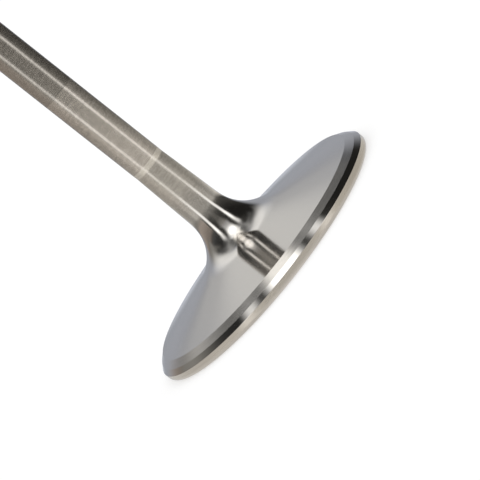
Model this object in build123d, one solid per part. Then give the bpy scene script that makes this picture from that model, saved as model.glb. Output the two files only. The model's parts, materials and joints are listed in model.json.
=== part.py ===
from build123d import *

import os
from math import cos, radians, sin, tan

# An engine intake valve, turned and ground from one forging, so it is one solid.
# It stands on its head. The flat combustion face lies on z = 0, centred on the origin,
# and the stem runs up +Z. Lengths are in millimetres and angles in degrees.

# Head, from the combustion face up
HEAD_DIAMETER = 57.0
FACE_EDGE_RADIUS = 0.88      # round between the combustion face and the margin
MARGIN_HEIGHT = 1.72         # top of the cylindrical margin above the combustion face
SEAT_ANGLE = 45.0            # from the head's plane
SEAT_WIDTH = 1.26            # along the slope
BACK_CUT_ANGLE = 35.0        # from the head's plane
BACK_CUT_WIDTH = 1.75        # along the slope
UNDERHEAD_ANGLE = 11.7       # cone between the back cut and the neck, from the head's plane

# Neck: two arcs that turn the underhead cone into the tapered stem
NECK_HEAD_RADIUS = 10.0      # arc next to the cone
NECK_STEM_RADIUS = 8.2       # arc next to the stem
NECK_CHANGE_ANGLE = 47.6     # from the stem's axis, where one arc passes into the other
NECK_TAPER_ANGLE = 1.9       # side of the tapered stem against the axis

# Run-out: where the wheel that grinds the stem lifts off, above the tapered stem
UNDERCUT_DIAMETER = 6.95     # narrow end of the taper
UNDERCUT_HEIGHT = 27.95      # of that narrow end above the combustion face
RUN_OUT_LENGTH = 1.1         # from there up to the full ground stem

# Ground stem and tip
STEM_DIAMETER = 7.0
OVERALL_LENGTH = 132.5
TIP_CHAMFER = 0.8            # at 45 degrees

# Keeper groove
TIP_TO_GROOVE = 4.5          # from the tip down to the groove's upper wall
GROOVE_WIDTH = 2.0
GROOVE_ROOT_DIAMETER = 5.6
GROOVE_ROOT_RADIUS = 0.35    # in the two inner corners

HEAD_RADIUS = HEAD_DIAMETER / 2
STEM_RADIUS = STEM_DIAMETER / 2
UNDERCUT_RADIUS = UNDERCUT_DIAMETER / 2


def arc_reach(radius, start, end):
    """How far out and how far down an arc goes while its side turns from one angle
    against the axis to another."""
    outward = radius * (cos(radians(start)) - cos(radians(end)))
    downward = radius * (sin(radians(end)) - sin(radians(start)))
    return outward, downward


def neck_top(back_cut_top):
    """The point of the taper where the neck's arcs begin, chosen so that the arcs end
    on the underhead cone, which rises inwards from the top of the back cut."""
    stem_out, stem_down = arc_reach(NECK_STEM_RADIUS, NECK_TAPER_ANGLE, NECK_CHANGE_ANGLE)
    head_out, head_down = arc_reach(NECK_HEAD_RADIUS, NECK_CHANGE_ANGLE, 90 - UNDERHEAD_ANGLE)
    taper = tan(radians(NECK_TAPER_ANGLE))
    cone = tan(radians(UNDERHEAD_ANGLE))
    foot_of_taper = UNDERCUT_RADIUS + UNDERCUT_HEIGHT * taper
    cone_run = back_cut_top.X - foot_of_taper - stem_out - head_out
    height = (back_cut_top.Y + stem_down + head_down + cone_run * cone) / (1 - taper * cone)
    return Vector(foot_of_taper - height * taper, height)


def valve_blank():
    """Half the valve's section, turned about the axis."""
    with BuildPart() as blank:
        with BuildSketch(Plane.XZ):
            with BuildLine():
                combustion_face = Line((0, 0), (HEAD_RADIUS - FACE_EDGE_RADIUS, 0))
                face_edge = JernArc(combustion_face @ 1, (1, 0), FACE_EDGE_RADIUS, 90)
                margin = Line(face_edge @ 1, (HEAD_RADIUS, MARGIN_HEIGHT))
                seat = PolarLine(margin @ 1, SEAT_WIDTH, 180 - SEAT_ANGLE)
                back_cut = PolarLine(seat @ 1, BACK_CUT_WIDTH, 180 - BACK_CUT_ANGLE)

                undercut = Vector(UNDERCUT_RADIUS, UNDERCUT_HEIGHT)
                taper = Line(undercut, neck_top(back_cut @ 1))
                stem_arc = JernArc(
                    taper @ 1, taper % 1, NECK_STEM_RADIUS, NECK_CHANGE_ANGLE - NECK_TAPER_ANGLE)
                head_arc = JernArc(
                    stem_arc @ 1, stem_arc % 1, NECK_HEAD_RADIUS,
                    90 - UNDERHEAD_ANGLE - NECK_CHANGE_ANGLE)
                Line(head_arc @ 1, back_cut @ 1)

                ground_foot = Vector(STEM_RADIUS, UNDERCUT_HEIGHT + RUN_OUT_LENGTH)
                Line(undercut, ground_foot)
                Polyline(
                    ground_foot,
                    (STEM_RADIUS, OVERALL_LENGTH - TIP_CHAMFER),
                    (STEM_RADIUS - TIP_CHAMFER, OVERALL_LENGTH),
                    (0, OVERALL_LENGTH),
                    (0, 0))
            make_face()
        revolve(axis=Axis.Z)
    return blank.part


def keeper_groove():
    """The ring cut out for the two halves of the keeper, with rounded inner corners."""
    depth = STEM_RADIUS - GROOVE_ROOT_DIAMETER / 2
    clear_of_stem = 1.0
    with BuildPart() as ring:
        with BuildSketch(Plane.XZ) as section:
            with Locations((STEM_RADIUS - depth, OVERALL_LENGTH - TIP_TO_GROOVE)):
                Rectangle(depth + clear_of_stem, GROOVE_WIDTH, align=(Align.MIN, Align.MAX))
            root_corners = section.vertices().group_by(Axis.X)[0]
            fillet(root_corners, GROOVE_ROOT_RADIUS)
        revolve(axis=Axis.Z)
    return ring.part


def valve():
    return valve_blank() - keeper_groove()


os.makedirs("parts", exist_ok=True)
export_step(valve(), "parts/valve.step")
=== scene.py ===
import json
import math

import bpy
import numpy as np
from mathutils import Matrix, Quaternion, Vector


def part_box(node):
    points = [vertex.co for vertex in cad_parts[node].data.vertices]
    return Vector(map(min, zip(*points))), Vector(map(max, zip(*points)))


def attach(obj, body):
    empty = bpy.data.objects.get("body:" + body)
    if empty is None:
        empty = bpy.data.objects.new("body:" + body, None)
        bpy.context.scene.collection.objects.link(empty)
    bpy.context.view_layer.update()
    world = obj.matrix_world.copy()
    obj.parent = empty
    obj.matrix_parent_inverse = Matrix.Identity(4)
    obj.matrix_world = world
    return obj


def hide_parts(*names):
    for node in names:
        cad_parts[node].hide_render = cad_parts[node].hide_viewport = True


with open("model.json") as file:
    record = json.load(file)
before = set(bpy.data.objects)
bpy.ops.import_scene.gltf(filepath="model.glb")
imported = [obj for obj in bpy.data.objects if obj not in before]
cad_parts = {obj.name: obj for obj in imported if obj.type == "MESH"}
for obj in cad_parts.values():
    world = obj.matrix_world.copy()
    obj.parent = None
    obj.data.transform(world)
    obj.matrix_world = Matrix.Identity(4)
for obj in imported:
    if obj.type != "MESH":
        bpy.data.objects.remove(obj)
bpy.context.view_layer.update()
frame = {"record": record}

MM = 0.001

# Sizes of the valve, in metres. The overall ones come from the frame.
VALVE_LOW, VALVE_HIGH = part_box("valve")
MOUNTS = {mount["name"]: mount for mount in frame["record"]["mounts"]}
HEAD_RADIUS = VALVE_HIGH.x
LENGTH = VALVE_HIGH.z
STEM_RADIUS = MOUNTS["stem_guide"]["dims"]["r_mm"] * MM
GROUND_LENGTH = MOUNTS["stem_guide"]["dims"]["length_mm"] * MM
GROUND_FOOT = MOUNTS["stem_guide"]["pos_m"][2] - GROUND_LENGTH / 2
GROOVE_RADIUS = MOUNTS["keeper_groove"]["dims"]["r_mm"] * MM
GROOVE_WIDTH = MOUNTS["keeper_groove"]["dims"]["length_mm"] * MM
GROOVE_FOOT = GROUND_FOOT + GROUND_LENGTH
FACE_EDGE_ROUND = 0.88 * MM
MARGIN_HEIGHT = 1.72 * MM
SEAT_ANGLE = 45.0
SEAT_WIDTH = 1.26 * MM
BACK_CUT_ANGLE = 35.0
BACK_CUT_WIDTH = 1.75 * MM
UNDERHEAD_ANGLE = 11.7
NECK_HEAD_ROUND = 10.0 * MM
NECK_STEM_ROUND = 8.2 * MM
NECK_CHANGE_ANGLE = 47.6
NECK_TAPER_ANGLE = 1.9
UNDERCUT_RADIUS = 3.475 * MM
RUN_OUT_LENGTH = 1.1 * MM
GROOVE_ROOT_ROUND = 0.35 * MM
TIP_CHAMFER = 0.8 * MM
EDGE_BREAK = 0.05 * MM       # the faint round on every ground edge
TAPER_FOOT = 14.8 * MM       # height at which the neck's polish begins to give way
PLATING_FOOT = 49.2 * MM     # height from which the stem is plated, and a little darker
HAZE_START = 9.7 * MM        # distance from the axis at which the underhead's haze begins
HAZE_FULL = 12.3 * MM
HAZE_SHARE = 0.07

# How often the marks of a finish change on their way round the axis, per metre
LONG_MARKS = 120
SHORT_MARKS = 1000

# The photograph's camera
IMAGE_SIZE = 480
SENSOR_WIDTH = 36.0
CAMERA_DISTANCE = 427.5 * MM
CAMERA_ELEVATION = 11.64
CAMERA_ROLL = 51.65
FACE_CENTRE_PIXEL = (267.4, 258.2)
PIXELS_PER_METRE = 5417.0     # at the centre of the combustion face


def slope(angle):
    """A direction in the section that climbs inwards at an angle from the head's plane."""
    return Vector((-math.cos(math.radians(angle)), math.sin(math.radians(angle))))


def neck_corners(back_cut_top):
    """The two corners of the neck's frame. Rounded with the neck's two radii, they give
    arcs that pass straight into each other, into the cone and into the tapered stem."""
    change_slope = 90 - NECK_CHANGE_ANGLE
    head_turn = math.radians(change_slope - UNDERHEAD_ANGLE)
    stem_turn = math.radians(NECK_CHANGE_ANGLE - NECK_TAPER_ANGLE)
    joined = NECK_HEAD_ROUND * math.tan(head_turn / 2) + NECK_STEM_ROUND * math.tan(stem_turn / 2)
    between = slope(change_slope) * joined
    undercut_height = GROUND_FOOT - RUN_OUT_LENGTH
    taper = math.tan(math.radians(NECK_TAPER_ANGLE))
    cone = math.tan(math.radians(UNDERHEAD_ANGLE))
    foot_of_taper = UNDERCUT_RADIUS + undercut_height * taper
    run = back_cut_top.x - foot_of_taper + between.x
    height = (back_cut_top.y + run * cone + between.y) / (1 - taper * cone)
    stem_corner = Vector((foot_of_taper - height * taper, height))
    return stem_corner - between, stem_corner


def section_corners():
    """The section's corners from the face's centre to the tip's centre: place, radius of
    the round there, and the finish of the surface that follows."""
    margin_top = Vector((HEAD_RADIUS, MARGIN_HEIGHT))
    seat_top = margin_top + slope(SEAT_ANGLE) * SEAT_WIDTH
    back_cut_top = seat_top + slope(BACK_CUT_ANGLE) * BACK_CUT_WIDTH
    head_corner, stem_corner = neck_corners(back_cut_top)
    groove_top = GROOVE_FOOT + GROOVE_WIDTH
    return [
        (Vector((0, 0)), 0, "face"),
        (Vector((HEAD_RADIUS, 0)), FACE_EDGE_ROUND, "margin"),
        (margin_top, EDGE_BREAK, "seat"),
        (seat_top, EDGE_BREAK, "back_cut"),
        (back_cut_top, EDGE_BREAK, "underhead"),
        (head_corner, NECK_HEAD_ROUND, "underhead"),
        (stem_corner, NECK_STEM_ROUND, "neck"),
        (Vector((UNDERCUT_RADIUS, GROUND_FOOT - RUN_OUT_LENGTH)), EDGE_BREAK, "run_out"),
        (Vector((STEM_RADIUS, GROUND_FOOT)), EDGE_BREAK, "stem_foot"),
        (Vector((STEM_RADIUS, PLATING_FOOT)), 0, "stem"),
        (Vector((STEM_RADIUS, GROOVE_FOOT)), EDGE_BREAK, "groove"),
        (Vector((GROOVE_RADIUS, GROOVE_FOOT)), GROOVE_ROOT_ROUND, "groove"),
        (Vector((GROOVE_RADIUS, groove_top)), GROOVE_ROOT_ROUND, "groove"),
        (Vector((STEM_RADIUS, groove_top)), EDGE_BREAK, "stem"),
        (Vector((STEM_RADIUS, LENGTH - TIP_CHAMFER)), EDGE_BREAK, "tip"),
        (Vector((STEM_RADIUS - TIP_CHAMFER, LENGTH)), EDGE_BREAK, "tip"),
        (Vector((0, LENGTH)), 0, "tip"),
    ]


def section_rings(corners, arc_step=1.5, smallest_round=0.5 * MM):
    """Rings of the turned surface, as (place, outward normal, finish of the strip above)."""
    rings = []
    for index, (place, radius, finish) in enumerate(corners):
        if not radius:
            way = place - corners[index - 1][0] if index else corners[1][0] - place
            rings.append((place, Vector((way.y, -way.x)).normalized(), finish))
            continue
        way_in = (place - corners[index - 1][0]).normalized()
        way_out = (corners[index + 1][0] - place).normalized()
        turn = math.atan2(way_in.x * way_out.y - way_in.y * way_out.x, way_in.dot(way_out))
        side = math.copysign(1, turn)
        start = place - way_in * radius * math.tan(abs(turn) / 2)
        centre = start + Vector((-way_in.y, way_in.x)) * radius * side
        heading = math.atan2(way_in.y, way_in.x)
        step = arc_step if radius > smallest_round else 8 * arc_step
        count = max(2, math.ceil(math.degrees(abs(turn)) / step))
        for part in range(count + 1):
            angle = heading + turn * part / count
            outward = Vector((math.sin(angle), -math.cos(angle)))
            rings.append((centre + outward * radius * side, outward, finish))
    return rings


def blended(rings, finishes, reach=2.5 * MM, sample=0.05 * MM, turn_step=1.5):
    """Rings with the rounds of some finishes blended into each other, as polishing leaves
    them: along them the section's slope is averaged over a reach to either side."""
    chosen = [index for index, (low, high) in enumerate(zip(rings, rings[1:]))
              if low[2] in finishes and (high[0] - low[0]).length > EDGE_BREAK]
    before, after = rings[:chosen[0]], rings[chosen[-1] + 1:]
    zone = rings[chosen[0]:chosen[-1] + 2]
    steps_up = [(b[0] - a[0]).length for a, b in zip(zone, zone[1:])]
    lengths = np.concatenate([[0], np.cumsum(steps_up)])
    slopes = [math.atan2(outward.x, -outward.y) for _, outward, _ in zone]
    even, spacing = np.linspace(0, lengths[-1], math.ceil(lengths[-1] / sample), retstep=True)
    width = round(reach / spacing)
    kernel = np.hanning(2 * width + 1)
    padded = np.pad(np.interp(even, lengths, slopes), width, "edge")
    smooth = np.convolve(padded, kernel / kernel.sum(), "valid")
    middles = (smooth[1:] + smooth[:-1]) / 2
    x = zone[0][0].x + np.concatenate([[0], np.cumsum(np.cos(middles))]) * spacing
    y = zone[0][0].y + np.concatenate([[0], np.cumsum(np.sin(middles))]) * spacing
    x += (zone[-1][0].x - x[-1]) * even / even[-1]
    y += (zone[-1][0].y - y[-1]) * even / even[-1]
    result = []
    turned = math.inf
    for index, angle in enumerate(smooth[:-1]):
        if abs(angle - turned) < math.radians(turn_step):
            continue
        turned = angle
        finish = zone[np.searchsorted(lengths, even[index], "right") - 1][2]
        result.append((Vector((x[index], y[index])),
                       Vector((math.sin(angle), -math.cos(angle))), finish))
    return before + result + after


def turned_mesh(name, rings, finishes, around=320):
    """Turns the rings about the axis. The ends are single points, and each vertex has
    the section's own normal, so that the reflections run true."""
    angles = np.linspace(0, 2 * math.pi, around, endpoint=False)
    cosine, sine = np.cos(angles), np.sin(angles)
    vertices = [(0.0, 0.0, rings[0][0].y)]
    normals = [(0.0, 0.0, rings[0][1].y)]
    for place, outward, _ in rings[1:-1]:
        vertices += list(zip(place.x * cosine, place.x * sine, np.full(around, place.y)))
        normals += list(zip(outward.x * cosine, outward.x * sine, np.full(around, outward.y)))
    vertices.append((0.0, 0.0, rings[-1][0].y))
    normals.append((0.0, 0.0, rings[-1][1].y))
    faces = []
    finish_of_face = []
    last = len(vertices) - 1
    for ring in range(len(rings) - 1):
        low = 1 + (ring - 1) * around
        for step in range(around):
            following = (step + 1) % around
            if ring == 0:
                faces.append((0, 1 + following, 1 + step))
            elif ring == len(rings) - 2:
                faces.append((low + step, low + following, last))
            else:
                faces.append((low + step, low + following,
                              low + around + following, low + around + step))
            finish_of_face.append(finishes.index(rings[ring][2]))
    mesh = bpy.data.meshes.new(name)
    mesh.from_pydata(vertices, [], faces)
    mesh.polygons.foreach_set("material_index", finish_of_face)
    mesh.polygons.foreach_set("use_smooth", [True] * len(faces))
    mesh.normals_split_custom_set_from_vertices(normals)
    mesh.update()
    return mesh


def operator(operation):
    """An operator's method and the method of its reflected form."""
    def plain(self, other):
        return self.combined(operation, self, other)

    def reflected(self, other):
        return self.combined(operation, other, self)
    return plain, reflected


class Number:
    """A socket that takes part in arithmetic: each operator adds a Math node."""

    def __init__(self, tree, socket):
        self.tree = tree
        self.socket = socket

    def combined(self, operation, *values):
        node = self.tree.nodes.new("ShaderNodeMath")
        node.operation = operation
        for socket, value in zip(node.inputs, values):
            if isinstance(value, Number):
                self.tree.links.new(value.socket, socket)
            else:
                socket.default_value = value
        return Number(self.tree, node.outputs[0])

    __add__, __radd__ = operator("ADD")
    __sub__, __rsub__ = operator("SUBTRACT")
    __mul__, __rmul__ = operator("MULTIPLY")
    __truediv__, __rtruediv__ = operator("DIVIDE")
    __pow__, __rpow__ = operator("POWER")


class Shader:
    """One material's or the world's node tree, with a single way to add a node."""

    def __init__(self, owner):
        owner.use_nodes = True
        self.tree = owner.node_tree
        self.tree.nodes.clear()

    def node(self, kind, settings=None, **inputs):
        """Adds a node: its settings first, then the values or links of its sockets."""
        node = self.tree.nodes.new(kind)
        for name, value in (settings or {}).items():
            if name == "stops":
                self.set_stops(node.color_ramp, value)
            else:
                setattr(node, name, value)
        for name, value in inputs.items():
            socket = self.socket(node, name)
            if isinstance(value, Number):
                value = value.socket
            if isinstance(value, bpy.types.NodeSocket):
                self.tree.links.new(value, socket)
            else:
                socket.default_value = value
        return node

    @staticmethod
    def socket(node, name):
        """The input whose name reads the same in lower case with low lines; input_0 is
        the first one, for nodes whose sockets share a name."""
        if name.startswith("input_"):
            return node.inputs[int(name.removeprefix("input_"))]
        return next(s for s in node.inputs if s.name.lower().replace(" ", "_") == name)

    @staticmethod
    def set_stops(ramp, stops):
        while len(ramp.elements) < len(stops):
            ramp.elements.new(1.0)
        for element, (position, colour) in zip(ramp.elements, stops):
            element.position = position
            element.color = colour

    def number(self, kind, output, settings=None, **inputs):
        return Number(self.tree, self.node(kind, settings, **inputs).outputs[output])


def place_on_valve(shader):
    """The place on the surface, in metres: x, y, height and distance from the axis."""
    place = shader.node("ShaderNodeTexCoord").outputs["Object"]
    split = shader.node("ShaderNodeSeparateXYZ", vector=place).outputs
    x, y, height = (Number(shader.tree, socket) for socket in split)
    return x, y, height, (x * x + y * y) ** 0.5


def ring_lines(shader, pitch, unevenness):
    """Fine lines that run round the axis, as a number about 0.5. Pitch is their spacing
    along the section and unevenness how often they change on the way round, per metre."""
    x, y, height, radius = place_on_valve(shader)
    vector = shader.node("ShaderNodeCombineXYZ", x=x * unevenness, y=y * unevenness,
                         z=(height - radius) / pitch)
    return shader.number("ShaderNodeTexNoise", "Fac", vector=vector.outputs[0], scale=1.0,
                         detail=3.0, roughness=0.6)


def ramp(shader, number, *stops):
    """A number read off a ramp of (position, value) stops."""
    colours = [(position, (value, value, value, 1)) for position, value in stops]
    node = shader.node("ShaderNodeValToRGB", {"stops": colours}, fac=number)
    return Number(shader.tree, node.outputs["Color"])


def marked_steel(shader, lines, colour, roughness, spread=0.0, depth=0.0, ring_share=0.0,
                 tint=0.0):
    """Bare steel with lines round the axis. They vary the roughness by its spread and the
    brightness by tint, and stand depth deep. Ring share is the steel's anisotropy."""
    marks = {"base_color": (*colour, 1), "roughness": roughness}
    if tint:
        shade = 1 + (lines - 0.5) * tint
        marks["base_color"] = shader.node("ShaderNodeVectorMath", {"operation": "SCALE"},
                                          input_0=colour, scale=shade).outputs[0]
    if spread:
        marks["roughness"] = roughness + (lines - 0.5) * spread
    if depth:
        marks["normal"] = shader.node("ShaderNodeBump", strength=1.0, distance=depth,
                                      height=lines).outputs[0]
    return shader.node("ShaderNodeBsdfPrincipled", metallic=1.0, anisotropic=ring_share,
                       anisotropic_rotation=0.25, **marks).outputs[0]


def mixed(shader, first, second, share):
    node = shader.node("ShaderNodeMixShader", input_0=share, input_1=first, input_2=second)
    return node.outputs[0]


def finish(name, surface_of):
    """A material whose surface a function makes from a shader."""
    material = bpy.data.materials.new(name)
    shader = Shader(material)
    shader.node("ShaderNodeOutputMaterial", surface=surface_of(shader))
    return material


def steel(name, colour, pitch, **marks):
    """Steel with one kind of marks."""
    def surface(shader):
        return marked_steel(shader, ring_lines(shader, pitch, LONG_MARKS), colour, **marks)
    return finish(name, surface)


def ground_surface(shader, colour, clear, dull, dull_share, pitch, contrast, tint):
    """Ground steel: clear and dull marks lie side by side, with these roughnesses."""
    lines = ring_lines(shader, pitch, SHORT_MARKS)
    share = dull_share + (lines - 0.5) * contrast
    clear_marks = marked_steel(shader, lines, colour, clear, ring_share=0.3, tint=tint)
    dull_marks = marked_steel(shader, lines, colour, dull, ring_share=0.2, tint=tint)
    return mixed(shader, clear_marks, dull_marks, share)


def ground_steel(name, colour, **marks):
    return finish(name, lambda shader: ground_surface(shader, colour, **marks))


def neck_steel(name, polished, ground, **marks):
    """The neck: polished at the head, and ground from its taper up. In between, the
    polish gives way little by little."""
    def surface(shader):
        height = place_on_valve(shader)[2]
        ground_share = ramp(shader, height / LENGTH,
                            ((TAPER_FOOT - 0.5 * MM) / LENGTH, 0),
                            ((TAPER_FOOT + 1.6 * MM) / LENGTH, 0.25),
                            ((TAPER_FOOT + 4.0 * MM) / LENGTH, 0.6),
                            ((TAPER_FOOT + 6.6 * MM) / LENGTH, 1))
        lines = ring_lines(shader, 0.2 * MM, LONG_MARKS)
        shiny = marked_steel(shader, lines, polished, 0.12, spread=0.08, depth=0.0003 * MM,
                             ring_share=0.4, tint=0.12)
        return mixed(shader, shiny, ground_surface(shader, ground, **marks), ground_share)
    return finish(name, surface)


def underhead_steel(name, polished):
    """The polished underhead, with a faint haze outside the neck's foot."""
    def surface(shader):
        radius = place_on_valve(shader)[3]
        haze = ramp(shader, radius / HEAD_RADIUS, (HAZE_START / HEAD_RADIUS, 0),
                    (HAZE_FULL / HEAD_RADIUS, HAZE_SHARE))
        lines = ring_lines(shader, 0.2 * MM, LONG_MARKS)
        clear = marked_steel(shader, lines, polished, 0.105, spread=0.03, depth=0.0002 * MM,
                             ring_share=0.2)
        hazy = marked_steel(shader, lines, polished, 0.45)
        return mixed(shader, clear, hazy, haze)
    return finish(name, surface)


def valve_finishes():
    """The finishes by the name that the section's strips use."""
    polished = (0.71, 0.685, 0.655)
    ground = (0.685, 0.636, 0.58)
    taper = (0.735, 0.69, 0.63)
    margin = (0.624, 0.575, 0.514)
    bright = (0.832, 0.783, 0.71)
    plated = (0.526, 0.49, 0.447)
    turned = {"roughness": 0.3, "spread": 0.2, "tint": 0.1}
    fresh_ground = {"pitch": 0.1 * MM, "depth": 0.0002 * MM}
    stem_marks = {"clear": 0.24, "dull": 0.5, "pitch": 0.4 * MM}
    return {
        "face": steel("face_turned", ground, 0.25 * MM, depth=0.002 * MM, ring_share=0.6, **turned),
        "margin": steel("margin_satin", margin, 0.12 * MM, depth=0.001 * MM, ring_share=0.6,
                        **turned),
        "seat": steel("seat_ground", polished, roughness=0.08, spread=0.04, ring_share=0.3,
                      tint=0.05, **fresh_ground),
        "back_cut": steel("back_cut_ground", polished, roughness=0.22, spread=0.1,
                          ring_share=0.85, tint=0.3, **fresh_ground),
        "underhead": underhead_steel("underhead_polished", polished),
        "neck": neck_steel("neck_polished", polished, taper, clear=0.2, dull=0.5, dull_share=0.5,
                           pitch=0.4 * MM, contrast=0.3, tint=0.4),
        "run_out": ground_steel("run_out_satin", bright, dull_share=0.4, contrast=0.3, tint=0.3,
                                **stem_marks),
        "stem_foot": ground_steel("stem_ground", ground, dull_share=0.2, contrast=0.3, tint=0.7,
                                  **stem_marks),
        "stem": ground_steel("stem_plated", plated, dull_share=0.12, contrast=0.2, tint=0.7,
                             **stem_marks),
        "groove": steel("groove_turned", ground, 0.1 * MM, depth=0.001 * MM, ring_share=0.4,
                        **turned),
        "tip": steel("tip_ground", ground, 0.1 * MM, roughness=0.2, spread=0.2,
                     depth=0.0005 * MM, ring_share=0.4, tint=0.1),
    }


def build_valve():
    finishes = valve_finishes()
    names = list(finishes)
    rings = blended(section_rings(section_corners()), ("underhead", "neck"))
    mesh = turned_mesh("valve_turned", rings, names)
    for name in names:
        mesh.materials.append(finishes[name])
    valve = bpy.data.objects.new("valve_turned", mesh)
    bpy.context.scene.collection.objects.link(valve)
    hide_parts("valve")
    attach(valve, "root")


# The studio. Its panels stand round the valve, and only reflections see them. Where two
# overlap, the nearer one covers the farther one. Azimuth 0 is where the camera stands, and
# 90 is on the valve's right.
PANEL_CENTRE = Vector((0, 0, 15 * MM))
PANEL_STEP = 1.5             # degrees from one point of a wall to the next
PATH_STEPS = 5               # from one point of a ribbon's path to the next
RIBBON_ACROSS = 13           # points across a ribbon
PANEL_LIGHT = 0.817          # strength of a light of 1 in the panels' rows
WALL_DISTANCE = 420 * MM
LIGHT_DISTANCE = 300 * MM
STUDIO_TURN = 2.5            # the lights stand this far round from the camera's side
SIDE_GLOW = 62               # azimuth of the table's bright patch on either side
SIDE_GLOW_REACH = 22
HIGH_WALL = (116, 160)       # azimuths of the pale upper wall on either side
WHITE = (1.0, 1.0, 0.985)
WARM = (1.03, 1.0, 0.93)
BROWN = (1.15, 1.0, 0.88)
COOL = (0.955, 1.0, 1.11)
ROOM_LIGHT = 0.9             # strength of the white light all round
FLOOR_PAINT = 0.6
FLOOR_GLOW = 0.5             # for the camera, which then sees the floor as white


def toward(azimuth, elevation):
    """The direction at these angles, as a unit vector."""
    a, e = math.radians(azimuth), math.radians(elevation)
    return Vector((math.sin(a) * math.cos(e), -math.cos(a) * math.cos(e), math.sin(e)))


def fade(inside, softness):
    """1 well inside a panel's edge and 0 well outside it, in degrees; half at the edge."""
    if not softness:
        return 1.0
    value = min(1.0, max(0.0, 0.5 + inside / (2 * softness)))
    return value * value * (3 - 2 * value)


def steps(start, end):
    """Even steps of about the panel step that begin and end exactly."""
    return np.linspace(start, end, max(2, math.ceil(abs(end - start) / PANEL_STEP) + 1))


def panel(name, grid, tint):
    """A panel from rows of (place, light, cover). Where its cover ends, it is clear."""
    vertices = [place for row in grid for place, _, _ in row]
    lights = [value for row in grid for _, light, cover in row
              for value in (*(share * light * PANEL_LIGHT for share in tint), cover)]
    across = len(grid[0])
    faces = [(low + step, low + step + 1, low + across + step + 1, low + across + step)
             for low in range(0, (len(grid) - 1) * across, across)
             for step in range(across - 1)]
    mesh = bpy.data.meshes.new(name)
    mesh.from_pydata(vertices, [], faces)
    mesh.attributes.new("light", "FLOAT_COLOR", "POINT").data.foreach_set("color", lights)
    mesh.materials.append(panel_material())
    shape = bpy.data.objects.new(name, mesh)
    bpy.context.scene.collection.objects.link(shape)
    reflections_only(shape)


def even(start, end, *levels):
    """A wall's rows from (elevation, light) pairs, all between the same azimuths."""
    return [(elevation, start, end, light) for elevation, light in levels]


def wall(name, rows, tint, side_fade=0.0, low_fade=0.0, high_fade=0.0, distance=WALL_DISTANCE):
    """A panel from rows of (elevation, azimuth from, azimuth to, light), low to high."""
    levels, starts, ends, _ = columns = list(zip(*rows))
    widest = max(end - start for start, end in zip(starts, ends)) + 2 * side_fade
    shares = steps(0, widest) / widest
    grid = []
    for elevation in steps(levels[0] - low_fade, levels[-1] + high_fade):
        start, end, light = (np.interp(elevation, levels, column) for column in columns[1:])
        shown = fade(elevation - levels[0], low_fade) * fade(levels[-1] - elevation, high_fade)
        line = []
        for share in shares:
            azimuth = start - side_fade + share * (end - start + 2 * side_fade)
            cover = shown * fade(min(azimuth - start, end - azimuth), side_fade)
            line.append((PANEL_CENTRE + toward(azimuth, elevation) * distance, light, cover))
        grid.append(line)
    panel(name, grid, tint)


def ribbon(name, path, tint, side_fade, distance=LIGHT_DISTANCE, points_to_open=0):
    """A long panel along a path of (azimuth, elevation, width, light), with soft sides.
    At its start it may fade in over some of its points."""
    last = len(path) - 1

    def along(place):
        return [np.interp(place, range(len(path)), column) for column in zip(*path)]

    grid = []
    for place in np.linspace(0, last, last * PATH_STEPS + 1):
        azimuth, elevation, width, light = along(place)
        before, after = (toward(*along(np.clip(place + shift, 0, last))[:2])
                         for shift in (-1 / PATH_STEPS, 1 / PATH_STEPS))
        way = toward(azimuth, elevation)
        side = way.cross(after - before).normalized()
        reach = width / 2 + side_fade
        shown = fade(place - points_to_open / 2, points_to_open / 2)
        line = []
        for offset in np.linspace(-reach, reach, RIBBON_ACROSS):
            turned = way * math.cos(math.radians(offset)) + side * math.sin(math.radians(offset))
            line.append((PANEL_CENTRE + turned * distance, light,
                         shown * fade(width / 2 - abs(offset), side_fade)))
        grid.append(line)
    panel(name, grid, tint)


def panel_material():
    """The light of a panel, which fades to nothing where its cover does."""
    material = bpy.data.materials.get("studio_panel")
    if material:
        return material
    material = bpy.data.materials.new("studio_panel")
    material.cycles.emission_sampling = "NONE"
    shader = Shader(material)
    light = shader.node("ShaderNodeAttribute", {"attribute_name": "light"}).outputs
    glow = shader.node("ShaderNodeEmission", color=light["Color"], strength=1.0)
    clear = shader.node("ShaderNodeBsdfTransparent")
    surface = shader.node("ShaderNodeMixShader", input_0=light["Alpha"],
                          input_1=clear.outputs[0], input_2=glow.outputs[0])
    shader.node("ShaderNodeOutputMaterial", surface=surface.outputs[0])
    return material


def reflections_only(shape):
    shape.visible_camera = False
    shape.visible_diffuse = False
    shape.visible_transmission = False
    shape.visible_volume_scatter = False
    shape.visible_shadow = False


def turned_about(azimuth, *path):
    """A ribbon's path from points of (elevation, width, light), all at one azimuth."""
    return [(azimuth, *point) for point in path]


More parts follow.
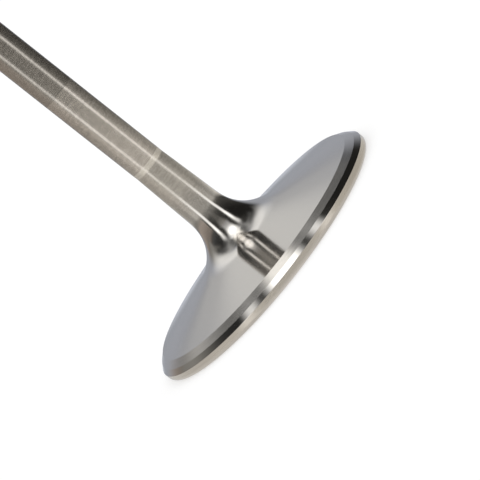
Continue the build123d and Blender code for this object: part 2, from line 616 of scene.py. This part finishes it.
def build_table_and_walls():
    """Dark walls over the bright table, whose far edge lies at about -6 degrees."""
    wall("wall_all", even(-180, 180, (-75, 0.85), (-11, 0.95), (-8, 0.8), (-4, 0.24), (10, 0.12),
                          (60, 0.05), (68, 0.1), (73, 0.16), (90, 0.24)),
         WHITE, low_fade=6, distance=WALL_DISTANCE * 1.1)
    wall("wall_left_low", even(-145, -52, (-10, 0.95), (-7, 0.45), (-5.5, 0.32), (-4, 0.26),
                               (4, 0.28)),
         WARM, side_fade=8, low_fade=3, high_fade=3, distance=WALL_DISTANCE * 1.08)
    wall("wall_left", even(-160, -52, (-1, 0.45), (10, 0.36), (18, 0.28), (26, 0.24), (34, 0.09)),
         BROWN, side_fade=3, low_fade=3, high_fade=3, distance=WALL_DISTANCE * 1.06)
    wall("wall_left_high", even(-160, -52, (31, 0.12), (42, 0.06), (58, 0.03), (68, 0.14)),
         WHITE, side_fade=3, low_fade=6, high_fade=6, distance=WALL_DISTANCE * 1.05)
    wall("wall_left_back", [(20, -160, -115, 0.28), (30, -160, -115, 0.32),
                            (36, -160, -115, 0.28), (42, -160, -109, 0.2),
                            (50, -160, -103, 0.12), (58, -160, -100, 0.07)],
         WARM, side_fade=6, low_fade=4, high_fade=5, distance=WALL_DISTANCE * 1.04)
    wall("wall_right", [(-30, 54, 135, 0.8), (-10, 54, 150, 0.8),
                        *even(54, 160, (-8, 1.1), (-6.5, 0.65), (-5.2, 0.16), (-4, 0.05),
                              (0, 0.08), (6, 0.06), (12, 0.04), (25, 0.02), (50, 0.02),
                              (68, 0.07))],
         WARM, side_fade=3, low_fade=3, high_fade=6, distance=WALL_DISTANCE * 1.06)
    wall("wall_front", even(-60, 60, (-16, 0.3), (-13, 0.3), (-11, 0.75), (-9.5, 2.3), (-8, 2.3),
                            (-7, 1.3), (-6, 0.32), (-5, 0.22), (-3, 0.24), (2, 0.24), (10, 0.09),
                            (30, 0.04), (68, 0.06)),
         WARM, side_fade=3, low_fade=3, high_fade=6, distance=WALL_DISTANCE * 1.03)
    for side, label in ((-1, "left"), (1, "right")):
        high = sorted(side * azimuth for azimuth in HIGH_WALL)
        wall("wall_high_" + label, even(*high, (46, 0.08), (56, 0.12), (72, 0.26)),
             WHITE, side_fade=8, low_fade=5, high_fade=5, distance=WALL_DISTANCE * 1.02)
        glow = (side * SIDE_GLOW - SIDE_GLOW_REACH, side * SIDE_GLOW + SIDE_GLOW_REACH)
        wall("glow_" + label, even(*glow, (-10, 1.25), (-7, 1.4), (-5, 0.8)),
             WARM, side_fade=12, low_fade=4, high_fade=2, distance=WALL_DISTANCE * 1.01)
    ribbon("front_glow", turned_about(0, (-2, 24, 0.28), (3, 24, 0.22), (12, 26, 0.16),
                                      (25, 28, 0.14), (38, 30, 0.28), (48, 30, 0.45)),
           WARM, 9, WALL_DISTANCE * 0.98)
    wall("sweep_back", [(-25, 158, 202, 1.0), (-8, 158, 202, 0.75), (-2, 156, 204, 0.5),
                        (0, 150, 210, 0.45), (8, 149, 210, 0.5), (20, 146, 210, 0.5),
                        (40, 150, 210, 0.6), (62, 150, 210, 0.6)],
         COOL, side_fade=9, low_fade=5, high_fade=8)


def build_lights():
    """The large soft light behind, a strip light on either side and the light overhead."""
    wall("softbox_back", [(37, 142, 226, 1.35), (50, 142, 225, 1.15), (60, 142, 219, 0.95)],
         WHITE, side_fade=12, low_fade=12, high_fade=6, distance=WALL_DISTANCE * 0.95)
    ribbon("softbox_foot", [(181, 13, 24, 0.45), (181, 18, 24, 0.5), (181, 23, 24, 0.65),
                            (180, 28, 24, 0.65), (179, 33, 24, 0.85), (178, 38, 24, 0.9),
                            (178, 46, 24, 1.35)],
           WHITE, 9, WALL_DISTANCE * 0.93, points_to_open=2)
    strip = [(43.5, -25, 12.5, 1.3), (44.5, -12, 12.5, 1.6), (45.5, -5, 12.5, 1.65),
             (47, 10, 12, 1.5), (47.5, 25, 11, 1.95), (50, 40, 10, 2.15), (53.5, 50.8, 8.5, 1.75),
             (58, 55.7, 8.5, 1.35), (63, 59.8, 8.5, 1.35), (68.5, 63.4, 8.5, 1.15),
             (74, 67.5, 7.5, 0.55), (84, 72, 6, 0.36), (98, 73, 5, 0.32), (120, 70, 5, 0.36),
             (145, 66, 6, 0.5), (152, 60, 8, 0.6)]
    for side, label in ((-1, "left"), (1, "right")):
        ribbon("strip_" + label, [(side * azimuth + STUDIO_TURN, *rest)
                                  for azimuth, *rest in strip], WHITE, 4)
    ribbon("top_light", turned_about(180, (72, 11, 0.36), (76, 12, 0.75), (80, 13, 1.2),
                                     (84, 13, 1.6), (89.9, 16, 1.85)),
           WARM, 3, LIGHT_DISTANCE * 0.98)
    ribbon("top_light_front",
           turned_about(STUDIO_TURN, (90, 22, 1.65), (85, 22, 1.55), (81, 22, 1.95),
                        (77, 22, 2.4), (73, 22, 2.5), (69, 22, 2.5), (65, 22, 1.7),
                        (61, 23, 1.2), (57, 24, 0.75), (52, 27, 0.6), (45, 32, 0.4)),
           WHITE, 5, LIGHT_DISTANCE * 0.96)
    ribbon("top_light_middle",
           turned_about(STUDIO_TURN, (90, 10, 1.95), (85, 10, 1.8), (81, 10, 2.0),
                        (77, 10, 2.75), (73, 10, 2.6), (69, 10, 2.5), (65, 10, 2.2),
                        (61, 10, 1.4), (57, 10, 0.75)),
           WHITE, 4, LIGHT_DISTANCE * 0.94)


def build_world():
    """White for the camera and for reflections, and plain white light for the rest."""
    world = bpy.data.worlds.new("studio_white")
    bpy.context.scene.world = world
    shader = Shader(world)
    path = shader.node("ShaderNodeLightPath").outputs
    seen = Number(shader.tree, path["Is Camera Ray"])
    seen = seen + Number(shader.tree, path["Is Glossy Ray"])
    seen = seen + Number(shader.tree, path["Is Transmission Ray"])
    strength = seen + (1 - seen) * ROOM_LIGHT
    background = shader.node("ShaderNodeBackground", color=(1, 1, 1, 1), strength=strength)
    shader.node("ShaderNodeOutputWorld", surface=background.outputs[0])


def build_floor():
    """A pale floor that keeps the valve's shadow. Reflections don't see it: they see the
    bright table among the studio's panels."""
    reach = 3.0
    mesh = bpy.data.meshes.new("floor")
    mesh.from_pydata([(-reach, -reach, 0), (reach, -reach, 0), (reach, reach, 0),
                      (-reach, reach, 0)], [], [(0, 1, 2, 3)])
    material = bpy.data.materials.new("floor_white")
    shader = Shader(material)
    camera_ray = shader.node("ShaderNodeLightPath").outputs["Is Camera Ray"]
    paint = shader.node("ShaderNodeBsdfDiffuse", color=(FLOOR_PAINT, FLOOR_PAINT, FLOOR_PAINT, 1))
    glow = shader.node("ShaderNodeEmission", color=(FLOOR_GLOW, FLOOR_GLOW, FLOOR_GLOW, 1),
                       strength=camera_ray)
    both = shader.node("ShaderNodeAddShader", input_0=paint.outputs[0], input_1=glow.outputs[0])
    shader.node("ShaderNodeOutputMaterial", surface=both.outputs[0])
    mesh.materials.append(material)
    floor = bpy.data.objects.new("floor", mesh)
    bpy.context.scene.collection.objects.link(floor)
    floor.visible_glossy = False


def build_camera():
    """The photograph's camera: it looks at the face's centre from the front, rolls, and
    then turns until that centre falls on its pixel."""
    data = bpy.data.cameras.new("camera")
    focal_pixels = PIXELS_PER_METRE * CAMERA_DISTANCE
    data.sensor_width = SENSOR_WIDTH
    data.lens = focal_pixels / IMAGE_SIZE * SENSOR_WIDTH
    camera = bpy.data.objects.new("camera", data)
    bpy.context.scene.collection.objects.link(camera)
    elevation = math.radians(CAMERA_ELEVATION)
    back = Vector((0, -math.cos(elevation), math.sin(elevation)))
    aim = Vector(((FACE_CENTRE_PIXEL[0] - IMAGE_SIZE / 2) / focal_pixels,
                  (IMAGE_SIZE / 2 - FACE_CENTRE_PIXEL[1]) / focal_pixels, -1))
    looking = (-back).to_track_quat("-Z", "Y")
    rolled = Quaternion((0, 0, 1), -math.radians(CAMERA_ROLL))
    turned = aim.rotation_difference(Vector((0, 0, -1)))
    camera.rotation_mode = "QUATERNION"
    camera.location = back * CAMERA_DISTANCE
    camera.rotation_quaternion = looking @ rolled @ turned
    bpy.context.scene.camera = camera


bpy.context.scene.view_settings.view_transform = "Standard"
build_camera()
build_world()
build_floor()
build_table_and_walls()
build_lights()
build_valve()
